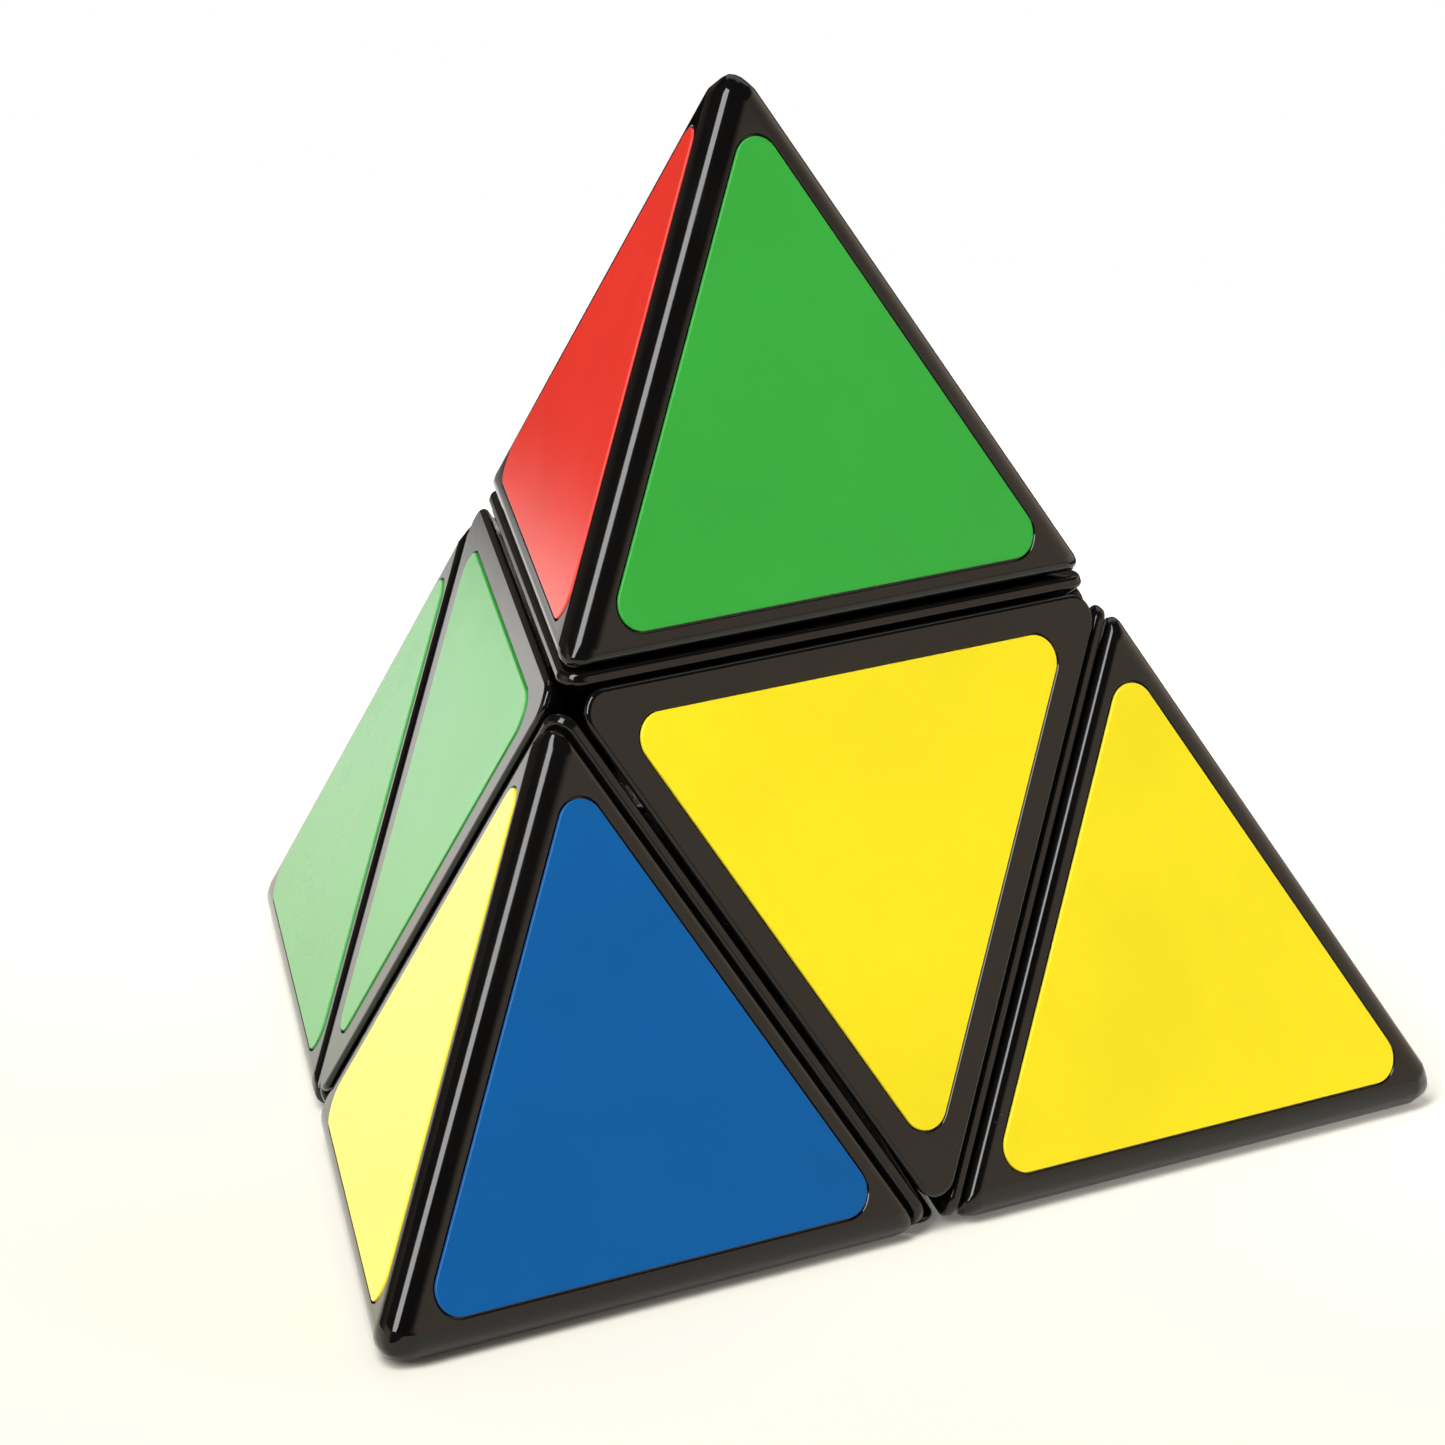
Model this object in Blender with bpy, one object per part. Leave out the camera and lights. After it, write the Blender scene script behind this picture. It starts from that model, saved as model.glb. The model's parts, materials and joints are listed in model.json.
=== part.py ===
"""A pyramid twisty puzzle: a regular tetrahedron cut by three planes at right angles.

Metres, +Z up, the base face on z = 0 with its centre at the origin. The puzzle's own axes u, v and w meet
at its centre and run out through the middles of the three upper edges, so a layer is the half of the puzzle
with u, v or w above zero. Every piece is modelled in u, v, w and placed by a turn about the centre, which
lies on the axis of every joint.
"""

from math import cos, pi, radians, sin, sqrt, tan

import bmesh
import bpy
from mathutils import Matrix, Vector

# The pyramid
EDGE = 0.095  # sharp edge of the tetrahedron through the stickers' outer faces
SPAN = EDGE / sqrt(8)  # centre to the middle of an edge
HEIGHT = EDGE * sqrt(2 / 3)
CENTRE = Vector((0, 0, HEIGHT / 4))

# Skin of the outer pieces
PLASTIC_INSET = 0.0001  # the plastic lies this far inside the stickers' outer faces
STICKER_THICK = 0.00025
STICKER_POCKET = 0.00035  # floor of the sticker's pocket, below the sticker's outer face
STICKER_SIDE_GAP = 0.00015
STICKER_CORNER = 0.0018
FREE_STICKER_INSET = 0.00302  # a corner piece's sticker to the pyramid's own edges
CUT_STICKER_INSET = 0.0025  # the same sticker to the cut
FACE_STICKER_INSET = 0.0028  # a face piece's sticker to the cuts
CORNER_ROUND = 0.00185
CUT_ROUND = 0.0008
ROUND_SEGMENTS = 4
WALL = 0.0016

# Cuts and seams, as distances from a cutting plane or from the outer face
HALF_GAP = 0.00015
CAP_SEAM = 0.00052
BASE_SEAM = 0.00028
RIM_INSET = 0.0005
RIM_ROUND = 0.00036
RIM_CORNER = 0.0014  # of the rim's outline, where it turns round a corner of the piece
INNER_CORNER = 0.0008  # of the same outline deep inside
LID_ROUND = 0.00034
LID_CORNER = 0.00175
LID_UNDER_ROUND = 0.0002
LID_DEPTH = 0.002
FACE_BASE_DEPTH = 0.0022
LID_SKIN = 0.00095
BOSS_DEPTH = 0.0012
BOSS_RADIUS = 0.0092
CORNER_BOSS_RADIUS = 0.0135
CORNER_BOSS_RISE = 0.0018
BOSS_GAP = 0.0003
BOSS_CORNER = 0.001
BOSS_ROOT = 0.0003

# Mechanism: shells about the centre, and how far each kind of piece keeps from the cutting planes
R_OUTER = 0.0166  # underside of the outer pieces
R_HUB = 0.0162
R_UNDER = 0.0126
R_FOOT = 0.0122
R_SOLE = 0.0087
R_CORE = 0.0083
NECK = 0.00575
EDGE_HALF = 0.00545
FOOT = 0.00375
TONGUE_HALF = 0.00345
STEM_RADIUS = 0.0034
STEM_BOTTOM = 0.00875
CORE_BOSS_TOP = 0.00845
CORE_BOSS_RADIUS = 0.0032
CORE_INSIDE = 0.0045  # where what grows out of the core begins, well inside it
FIXED_SOLE = 0.0069

# Axle screw, spring and washer, as heights along the axis
SCREW_TIP = 0.003  # bottom of the hole
SCREW_END_GAP = 0.0004
SCREW_RADIUS = 0.001
SCREW_HOLE = 0.00125
HUB_BORE = 0.0014
SPRING_WELL = 0.0026
WELL_FLOOR = 0.0102
SPRING_RADIUS = 0.00205
SPRING_WIRE = 0.00025
SPRING_FROM = 0.0106
SPRING_TO = 0.0131
SPRING_TURNS = 4
WASHER_FROM = 0.0135
WASHER_THICK = 0.0004
WASHER_RADIUS = 0.0024
HEAD_FROM = 0.0141
HEAD_THICK = 0.0014
HEAD_RADIUS = 0.0023
HEAD_ROUND = 0.00047
SLOT_WIDTH = 0.0005
SLOT_LENGTH = 0.0026
SLOT_DEPTH = 0.0007

# The base face piece, screwed to the core along its own diagonal
POST_RADIUS = 0.004
POST_FROM = 0.0100
POST_HOLE = 0.0043
SEAT_RADIUS = 0.0035
SEAT_TOP = 0.0097
FIXED_HEAD_FROM = 0.0150
FIXED_WELL = 0.0027

SPHERE_STEPS = 24
ROUND_STEPS = 16
OUTLINE_STEPS = 4  # facets round each corner of a triangular outline
PROFILE_STEPS = 3
SPRING_STEPS = 10
OVERLAP = 0.0005  # how far joined shapes reach into each other
REACH = 0.001  # how far a cutter reaches past the surface that it opens
FAR = 0.08
WELD = 1e-6
ON_PLANE = 1e-7
FACING = 0.9  # cosine above which a face looks along a direction

GREEN = (0.04, 0.41, 0.06)
BLUE = (0.01, 0.11, 0.38)
YELLOW = (0.98, 0.76, 0.03)
RED = (0.72, 0.06, 0.04)

# A piece's turn about the centre, by the axis that it is turned half round
CORNERS = {"front": "u", "right": "v", "left": "w", "top": None}
FACES = {"back": "u", "left": "v", "right": "w", "base": None}
CORNER_STICKERS = {
    "top": {"right": GREEN, "left": RED, "back": BLUE},
    "front": {"right": BLUE, "left": YELLOW, "base": RED},
    "right": {"right": YELLOW, "back": GREEN, "base": BLUE},
    "left": {"left": GREEN, "back": RED, "base": YELLOW},
}
FACE_STICKERS = {"right": YELLOW, "left": GREEN, "back": RED, "base": BLUE}
# Each hidden edge piece lies between a corner and a face, on the diagonal of two axes
HIDDEN_EDGES = {
    ("top", "right"): ("+u", "+v"),
    ("top", "left"): ("+u", "+w"),
    ("top", "back"): ("+v", "+w"),
    ("front", "left"): ("+u", "-v"),
    ("front", "right"): ("+u", "-w"),
    ("right", "back"): ("-u", "+v"),
    ("right", "right"): ("+v", "-w"),
    ("left", "back"): ("-u", "+w"),
    ("left", "left"): ("-v", "+w"),
}
FIXED_EDGES = (("-u", "-v"), ("-u", "-w"), ("-v", "-w"))
LAYERS = {"front": "u", "right": "v", "left": "w"}

UNIT = {
    "u": Vector((1, 0, 0)),
    "v": Vector((0, 1, 0)),
    "w": Vector((0, 0, 1)),
}
DIAGONAL = Vector((1, 1, 1)).normalized()
# The outer planes of the pyramid in u, v, w: each faces away from one corner
OUTER = {
    "base": -DIAGONAL,
    "back": Vector((-1, 1, 1)).normalized(),
    "left": Vector((1, -1, 1)).normalized(),
    "right": Vector((1, 1, -1)).normalized(),
}
FACE_DISTANCE = SPAN / sqrt(3)


def signed(name):
    """The unit vector of "+u", "-v" and the like."""
    return UNIT[name[1]] * (1 if name[0] == "+" else -1)


def columns(x, y, z):
    return Matrix((x, y, z)).transposed().to_4x4()


def clear_scene():
    for obj in list(bpy.data.objects):
        bpy.data.objects.remove(obj)


def material(name, colour, roughness, metallic=0.0):
    """One Principled material, made once for each name."""
    found = bpy.data.materials.get(name)
    if found:
        return found
    made = bpy.data.materials.new(name)
    made.use_nodes = True
    shader = made.node_tree.nodes["Principled BSDF"]
    shader.inputs["Base Color"].default_value = (*colour, 1)
    shader.inputs["Roughness"].default_value = roughness
    shader.inputs["Metallic"].default_value = metallic
    made.diffuse_color = (*colour, 1)
    return made


# Solids


def helper(bm):
    """An object from a finished bmesh, linked to the scene."""
    bmesh.ops.recalc_face_normals(bm, faces=bm.faces)
    mesh = bpy.data.meshes.new("helper")
    bm.to_mesh(mesh)
    bm.free()
    obj = bpy.data.objects.new("helper", mesh)
    bpy.context.scene.collection.objects.link(obj)
    return obj


def settled(obj):
    """The object with its modifiers applied, and points that fell together made one."""
    bpy.context.view_layer.update()
    graph = bpy.context.evaluated_depsgraph_get()
    mesh = bpy.data.meshes.new_from_object(obj.evaluated_get(graph))
    bm = bmesh.new()
    bm.from_mesh(mesh)
    bmesh.ops.remove_doubles(bm, verts=bm.verts, dist=WELD)
    bmesh.ops.dissolve_degenerate(bm, edges=bm.edges, dist=WELD)
    bm.to_mesh(mesh)
    bm.free()
    obj.modifiers.clear()
    obj.data = mesh
    return obj


def combined(first, others, operation):
    """The Boolean of the first object with the others, which are used up."""
    for other in others:
        modifier = first.modifiers.new(operation.lower(), "BOOLEAN")
        modifier.operation = operation
        modifier.object = other
        modifier.solver = "EXACT"
        settled(first)
        bpy.data.objects.remove(other)
    return first


def cut(first, *others):
    return combined(first, others, "DIFFERENCE")


def join(first, *others):
    return combined(first, others, "UNION")


def common(first, *others):
    return combined(first, others, "INTERSECT")


def turned_to(obj, matrix):
    obj.data.transform(matrix)
    if matrix.determinant() < 0:
        obj.data.flip_normals()
    return obj


def convex(planes):
    """The solid behind every plane, each given as an outward normal and a distance from the centre."""
    bm = bmesh.new()
    bmesh.ops.create_cube(bm, size=2 * FAR)
    for normal, distance in planes:
        outward = normal.normalized()
        everything = bm.verts[:] + bm.edges[:] + bm.faces[:]
        done = bmesh.ops.bisect_plane(
            bm,
            geom=everything,
            dist=ON_PLANE,
            plane_co=outward * distance,
            plane_no=outward,
            clear_outer=True,
        )
        rim = [item for item in done["geom_cut"] if isinstance(item, bmesh.types.BMEdge)]
        if rim:
            bmesh.ops.edgeloop_fill(bm, edges=rim)
    return helper(bm)


def ball(radius):
    bm = bmesh.new()
    bmesh.ops.create_uvsphere(bm, u_segments=SPHERE_STEPS, v_segments=SPHERE_STEPS // 2, radius=radius)
    return helper(bm)


def rod(radius, bottom, top, direction=UNIT["w"], steps=ROUND_STEPS):
    """A cylinder along a direction from the centre."""
    bm = bmesh.new()
    bmesh.ops.create_cone(
        bm, cap_ends=True, segments=steps, radius1=radius, radius2=radius, depth=top - bottom
    )
    turn = direction.to_track_quat("Z", "Y").to_matrix().to_4x4()
    bmesh.ops.transform(bm, matrix=turn @ Matrix.Translation((0, 0, (top + bottom) / 2)), verts=bm.verts)
    return helper(bm)


def loft(sections, frame):
    """A solid through outlines with equally many points, each given with its height in a frame."""
    bm = bmesh.new()
    rings = [[bm.verts.new((x, y, height)) for x, y in outline] for outline, height in sections]
    count = len(rings[0])
    for low, high in zip(rings, rings[1:]):
        for k in range(count):
            following = (k + 1) % count
            bm.faces.new((low[k], low[following], high[following], high[k]))
    bm.faces.new(rings[0])
    bm.faces.new(rings[-1])
    bmesh.ops.transform(bm, matrix=frame, verts=bm.verts)
    return helper(bm)


def rounded(obj, widths):
    """Rounds the edges between pairs of faces. widths gives how far each rounding runs in, from normals."""
    mesh = obj.data
    weights = mesh.attributes.new("bevel_weight_edge", "FLOAT", "EDGE")
    found = [widths(edge_normals(obj, edge)) for edge in mesh.edges]
    widest = max(found)
    for weight, width in zip(weights.data, found):
        weight.value = width / widest
    bevel = obj.modifiers.new("rounded_edges", "BEVEL")
    bevel.limit_method = "WEIGHT"
    bevel.offset_type = "OFFSET"
    bevel.width = widest
    bevel.segments = ROUND_SEGMENTS
    bevel.use_clamp_overlap = False
    return settled(obj)


def edge_normals(obj, edge):
    """The outward normals of the two faces at an edge."""
    ends = set(edge.vertices)
    return [face.normal for face in obj.data.polygons if ends <= set(face.vertices)]


def tangent_run(radius, normals):
    """How far from a sharp edge a fillet of this radius touches its faces."""
    between = pi - normals[0].angle(normals[1])
    return radius / tan(between / 2)


# Outer faces and stickers


def upright(outward, towards):
    """A frame about the centre with z outward and y as near as it can be to a direction."""
    uphill = (towards - outward * towards.dot(outward)).normalized()
    return columns(uphill.cross(outward), uphill, outward)


def face_frame(side):
    """A frame on an outer plane of the pyramid: z out, y towards one of the face's corners."""
    corner = UNIT["u"] if side == "base" else DIAGONAL
    return upright(OUTER[side], corner) @ Matrix.Translation((0, 0, FACE_DISTANCE))


def triangle(sides, corner):
    """A triangle with rounded corners, from the distances of its sides from the origin: the lower side,
    then the upper right and the upper left."""
    headings = [radians(a) for a in (-90, 30, 150)]
    normals = [Vector((cos(a), sin(a))) for a in headings]
    points = []
    for k, heading in enumerate(headings):
        following = (k + 1) % 3
        sides_here = Matrix((normals[k], normals[following]))
        middle = sides_here.inverted() @ Vector((sides[k] - corner, sides[following] - corner))
        for step in range(OUTLINE_STEPS + 1):
            angle = heading + radians(120) * step / OUTLINE_STEPS
            points.append(tuple(middle + corner * Vector((cos(angle), sin(angle)))))
    return points


SMALL_INRADIUS = EDGE / 2 / sqrt(12)  # of the triangle that each outer piece shows
CORNER_OFFSET = 2 * SMALL_INRADIUS  # that triangle's centre from the centre of the pyramid's face


def corner_outline(grow=0.0):
    """The sticker at the upper corner of a face: its lower side is along a cut."""
    cut_side = SMALL_INRADIUS - CUT_STICKER_INSET + grow
    free_side = SMALL_INRADIUS - FREE_STICKER_INSET + grow
    outline = triangle((cut_side, free_side, free_side), STICKER_CORNER + grow)
    return [(x, y + CORNER_OFFSET) for x, y in outline]


def face_outline(grow=0.0):
    """The sticker in the middle of a face, a triangle that points down."""
    side = SMALL_INRADIUS - FACE_STICKER_INSET + grow
    return [(-x, -y) for x, y in triangle((side, side, side), STICKER_CORNER + grow)]


def sticker(outline, side):
    return loft([(outline(), -STICKER_THICK), (outline(), 0)], face_frame(side))


def pocket(outline, side):
    grown = outline(STICKER_SIDE_GAP)
    return loft([(grown, -STICKER_POCKET), (grown, REACH)], face_frame(side))


# Triangular outlines stacked along the diagonal of an octant


def wedge_side(height):
    """Distance from the diagonal to the octant's own faces, at a height along it."""
    return sqrt(3 / 2) * (height / sqrt(3) - HALF_GAP)


def rim_side(height):
    """Distance from the diagonal to the rim's planes, which lie a little inside the outer faces."""
    return sqrt(3 / 8) * (sqrt(3) * (FACE_DISTANCE - RIM_INSET) - height / sqrt(3))


def filleted(points, radii):
    """The inner points of a path as arcs, each with its own radius."""
    path = []
    for before, at, after, radius in zip(points, points[1:], points[2:], radii):
        to_before = (before - at).normalized()
        to_after = (after - at).normalized()
        half = to_before.angle(to_after) / 2
        run = radius / tan(half)
        centre = at + (to_before + to_after).normalized() * radius / sin(half)
        start = (at + to_before * run - centre).normalized()
        end = (at + to_after * run - centre).normalized()
        for step in range(PROFILE_STEPS + 1):
            path.append(centre + start.slerp(end, step / PROFILE_STEPS) * radius)
    return path


def stacked(path, corner, frame):
    """A solid from a path of side distances and heights. The outline's corners keep their centres while
    it grows and shrinks near its widest, and stay a little rounded where it is much smaller."""
    widest = max(point.x for point in path)
    sections = []
    for side, height in path:
        radius = max(corner - (widest - side), INNER_CORNER)
        sections.append((triangle((side, side, side), radius), height))
    return loft(sections, frame)


CORNER_FRAME = upright(DIAGONAL, UNIT["u"])
FACE_FRAME = upright(-DIAGONAL, -UNIT["u"])
TIP_HEIGHT = 0.008  # where the stacked bodies start, inside the ball that hollows them


# Corner pieces, modelled at the top corner where u, v and w are all positive


def seam_distance(rise):
    """Distance along the diagonal of the plane that meets the outer faces this far from the cuts."""
    return (SPAN + 2 * rise) / sqrt(3)


def corner_sides():
    return [OUTER[side] for side in ("right", "left", "back")]


def corner_cap():
    outer = [(normal, FACE_DISTANCE - PLASTIC_INSET) for normal in corner_sides()]
    shell = convex([*outer, (-DIAGONAL, -seam_distance(CAP_SEAM))])

    def width(normals):
        at_cut = min(normal.dot(DIAGONAL) for normal in normals) < -FACING
        return tangent_run(CUT_ROUND if at_cut else CORNER_ROUND, normals)

    rounded(shell, width)
    inner = [(normal, FACE_DISTANCE - WALL) for normal in corner_sides()]
    hollow = convex([*inner, (-DIAGONAL, REACH - seam_distance(CAP_SEAM))])
    pockets = []
    for turn in (0, 120, 240):
        spun = Matrix.Rotation(radians(turn), 4, DIAGONAL)
        pockets.append(turned_to(pocket(corner_outline, "right"), spun))
    return cut(shell, hollow, *pockets)


def foot():
    """The neck and foot that hold an outer piece under the hidden edges, for u, v and w above zero."""
    backs = [-axis for axis in UNIT.values()]
    toe = common(convex([(back, -FOOT) for back in backs]), ball(R_FOOT))
    neck = common(convex([(back, -NECK) for back in backs]), ball(R_OUTER + OVERLAP))
    return cut(join(toe, neck), ball(R_SOLE))


def boss(radius, bottom, top, frame):
    """A triangular plug about the diagonal whose corners point along the three axes."""
    outline = triangle((radius / 2,) * 3, BOSS_CORNER)
    return loft([(outline, bottom), (outline, top)], frame)


def corner_base():
    top = seam_distance(BASE_SEAM)
    meeting = FACE_DISTANCE - RIM_INSET + 2 * HALF_GAP / sqrt(3)
    points = [
        Vector((wedge_side(TIP_HEIGHT), TIP_HEIGHT)),
        Vector((wedge_side(meeting), meeting)),
        Vector((rim_side(top), top)),
        Vector((0, top)),
    ]
    path = [points[0], *filleted(points, (RIM_ROUND, RIM_ROUND))]
    body = cut(stacked(path, RIM_CORNER, CORNER_FRAME), ball(R_OUTER))
    plug = boss(CORNER_BOSS_RADIUS, top - OVERLAP, top + CORNER_BOSS_RISE, CORNER_FRAME)
    return join(body, plug, foot())


# Face pieces, modelled at the base face where u, v and w are all negative


def face_cap():
    low, high = FACE_DISTANCE - LID_DEPTH, FACE_DISTANCE - PLASTIC_INSET
    points = [
        Vector((0, low)),
        Vector((wedge_side(low), low)),
        Vector((wedge_side(high), high)),
        Vector((0, high)),
    ]
    lid = stacked(filleted(points, (LID_UNDER_ROUND, LID_ROUND)), LID_CORNER, FACE_FRAME)
    recess = boss(BOSS_RADIUS + 2 * BOSS_GAP, low - REACH, FACE_DISTANCE - LID_SKIN, FACE_FRAME)
    return cut(lid, recess, pocket(face_outline, "base"))


def face_body():
    """The moulding under the lid, without its neck."""
    top = FACE_DISTANCE - FACE_BASE_DEPTH
    path = [Vector((wedge_side(height), height)) for height in (TIP_HEIGHT, top)]
    corner = LID_CORNER - wedge_side(FACE_DISTANCE) + wedge_side(top)
    hollowed = cut(stacked(path, corner, FACE_FRAME), ball(R_OUTER))
    return join(hollowed, boss(BOSS_RADIUS, top - BOSS_ROOT, FACE_DISTANCE - BOSS_DEPTH, FACE_FRAME))


def face_base():
    return join(face_body(), turned_to(foot(), Matrix.Scale(-1, 4)))


def fixed_base():
    """The base face piece: a straight post down to the core, and a hole for its screw."""
    body = join(face_body(), rod(POST_RADIUS, POST_FROM, R_OUTER + BOSS_ROOT, -DIAGONAL))
    bore = rod(SCREW_HOLE, POST_FROM - REACH, FACE_DISTANCE, -DIAGONAL)
    well = rod(FIXED_WELL, FIXED_HEAD_FROM - BOSS_ROOT, FACE_DISTANCE + REACH, -DIAGONAL)
    return cut(body, bore, well)


# The mechanism


def shell_block(planes, inner, outer):
    return cut(common(convex(planes), ball(outer)), ball(inner))


def hidden_edge(sole=R_SOLE):
    """An edge piece on the diagonal of u and v: a block over the feet and a tongue under the hubs."""

    def slab(half, near):
        planes = [(UNIT["w"], half), (-UNIT["w"], half)]
        return planes + [(-UNIT["u"], -near), (-UNIT["v"], -near)]

    block = shell_block(slab(EDGE_HALF, NECK), R_UNDER, R_HUB)
    tongue = shell_block(slab(TONGUE_HALF, FOOT), sole, R_FOOT)
    neck = shell_block(slab(TONGUE_HALF, NECK), R_FOOT - OVERLAP, R_UNDER + OVERLAP)
    return join(block, neck, tongue)


def hub(stem_bottom=STEM_BOTTOM):
    """A centre on the w axis: a square disc over the tongues, and a round stem."""
    planes = []
    for axis in (UNIT["u"], UNIT["v"]):
        planes += [(axis, EDGE_HALF), (-axis, EDGE_HALF)]
    planes.append((-UNIT["w"], 0))
    disc = shell_block(planes, R_UNDER, R_HUB)
    return join(disc, rod(STEM_RADIUS, stem_bottom, R_UNDER + OVERLAP))


def turning_hub():
    return cut(hub(), rod(HUB_BORE, 0, FAR), rod(SPRING_WELL, WELL_FLOOR, FAR))


def axis_frame(name):
    """Turns the w axis to a named axis, and u and v to the two that follow it round."""
    order = "uvw"
    at = order.index(name)
    return columns(UNIT[order[(at + 1) % 3]], UNIT[order[(at + 2) % 3]], UNIT[name])


def edge_frame(first, second):
    """Turns the diagonal of u and v to that of two signed axes."""
    a, b = signed(first), signed(second)
    return columns(a, b, a.cross(b))


def core():
    """The core with the three fixed hubs, the three fixed edges and the seat of the base face piece."""
    body = turned_to(ball(R_CORE), upright(DIAGONAL, UNIT["u"]))
    parts = [rod(SEAT_RADIUS, CORE_INSIDE, SEAT_TOP, -DIAGONAL)]
    for name in LAYERS.values():
        parts.append(rod(CORE_BOSS_RADIUS, CORE_INSIDE, CORE_BOSS_TOP, UNIT[name]))
    fixed = [turned_to(hub(CORE_INSIDE), axis_frame(name) @ Matrix.Rotation(pi, 4, "X")) for name in UNIT]
    fixed += [turned_to(hidden_edge(FIXED_SOLE), edge_frame(*pair)) for pair in FIXED_EDGES]
    for piece in fixed:
        parts.append(cut(piece, rod(POST_HOLE, CORE_INSIDE, FAR, -DIAGONAL)))
    join(body, *parts)
    holes = [rod(SCREW_HOLE, SCREW_TIP, FAR / 2, UNIT[name]) for name in LAYERS.values()]
    holes.append(rod(SCREW_HOLE, SCREW_TIP, FAR / 2, -DIAGONAL))
    return cut(body, *holes)


def pan_screw(head_from):
    """A pan-head cross screw on the w axis."""
    shank = rod(SCREW_RADIUS, SCREW_TIP + SCREW_END_GAP, head_from + OVERLAP)
    head = rod(HEAD_RADIUS, head_from, head_from + HEAD_THICK)

    def width(normals):
        return HEAD_ROUND if max(normal.z for normal in normals) > FACING else 0.0

    rounded(head, width)
    join(head, shank)
    top = head_from + HEAD_THICK
    slots = []
    for long_x, long_y in ((SLOT_LENGTH, SLOT_WIDTH), (SLOT_WIDTH, SLOT_LENGTH)):
        half_x, half_y = long_x / 2, long_y / 2
        outline = [(-half_x, -half_y), (half_x, -half_y), (half_x, half_y), (-half_x, half_y)]
        slots.append(loft([(outline, top - SLOT_DEPTH), (outline, top + REACH)], Matrix.Identity(4)))
    return cut(head, join(*slots))


def washer():
    ring = rod(WASHER_RADIUS, WASHER_FROM, WASHER_FROM + WASHER_THICK)
    return cut(ring, rod(HUB_BORE, 0, FAR))


def spring():
    """A coil of round wire on the w axis, as a mesh."""
    count = SPRING_STEPS * SPRING_TURNS
    curve = bpy.data.curves.new("spring", "CURVE")
    curve.dimensions = "3D"
    curve.bevel_depth = SPRING_WIRE
    curve.bevel_resolution = 1
    curve.use_fill_caps = True
    path = curve.splines.new("POLY")
    path.points.add(count)
    for step in range(count + 1):
        angle = 2 * pi * step / SPRING_STEPS
        height = SPRING_FROM + (SPRING_TO - SPRING_FROM) * step / count
        place = (SPRING_RADIUS * cos(angle), SPRING_RADIUS * sin(angle), height)
        path.points[step].co = (*place, 1)
    obj = bpy.data.objects.new("spring", curve)
    bpy.context.scene.collection.objects.link(obj)
    bpy.context.view_layer.update()
    mesh = bpy.data.meshes.new_from_object(obj.evaluated_get(bpy.context.evaluated_depsgraph_get()))
    bpy.data.objects.remove(obj)
    bm = bmesh.new()
    bm.from_mesh(mesh)
    bmesh.ops.remove_doubles(bm, verts=bm.verts, dist=WELD)
    return helper(bm)


# Placing


def shape(obj, name, smooth=30):
    """Takes the mesh from a modelled object, named and shaded smooth below an angle in degrees."""
    mesh = obj.data
    mesh.name = name
    mesh.materials.clear()
    mesh.shade_smooth()
    mesh.set_sharp_from_angle(angle=radians(smooth))
    bpy.data.objects.remove(obj)
    return mesh


def place(name, mesh, turn, puzzle, finish):
    """A piece as its own object: a shared mesh, turned about the puzzle's centre, in its own finish."""
    obj = bpy.data.objects.new(name, mesh)
    bpy.context.scene.collection.objects.link(obj)
    if not mesh.materials:
        mesh.materials.append(None)
    obj.material_slots[0].link = "OBJECT"
    obj.material_slots[0].material = finish
    obj.parent = puzzle
    obj.matrix_local = turn
    return obj


def half_turn(axis):
    return Matrix.Rotation(pi, 4, UNIT[axis]) if axis else Matrix.Identity(4)


def puzzle_frame():
    """The empty at the puzzle's centre, with its x, y and z along u, v and w."""
    out = 1 / sqrt(3)
    across = sqrt(2 / 3)
    rows = [Vector((across * sin(radians(a)), -across * cos(radians(a)), out)) for a in (0, 120, 240)]
    empty = bpy.data.objects.new("puzzle_centre", None)
    bpy.context.scene.collection.objects.link(empty)
    empty.matrix_world = Matrix.Translation(CENTRE) @ columns(*rows)
    return empty


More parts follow.
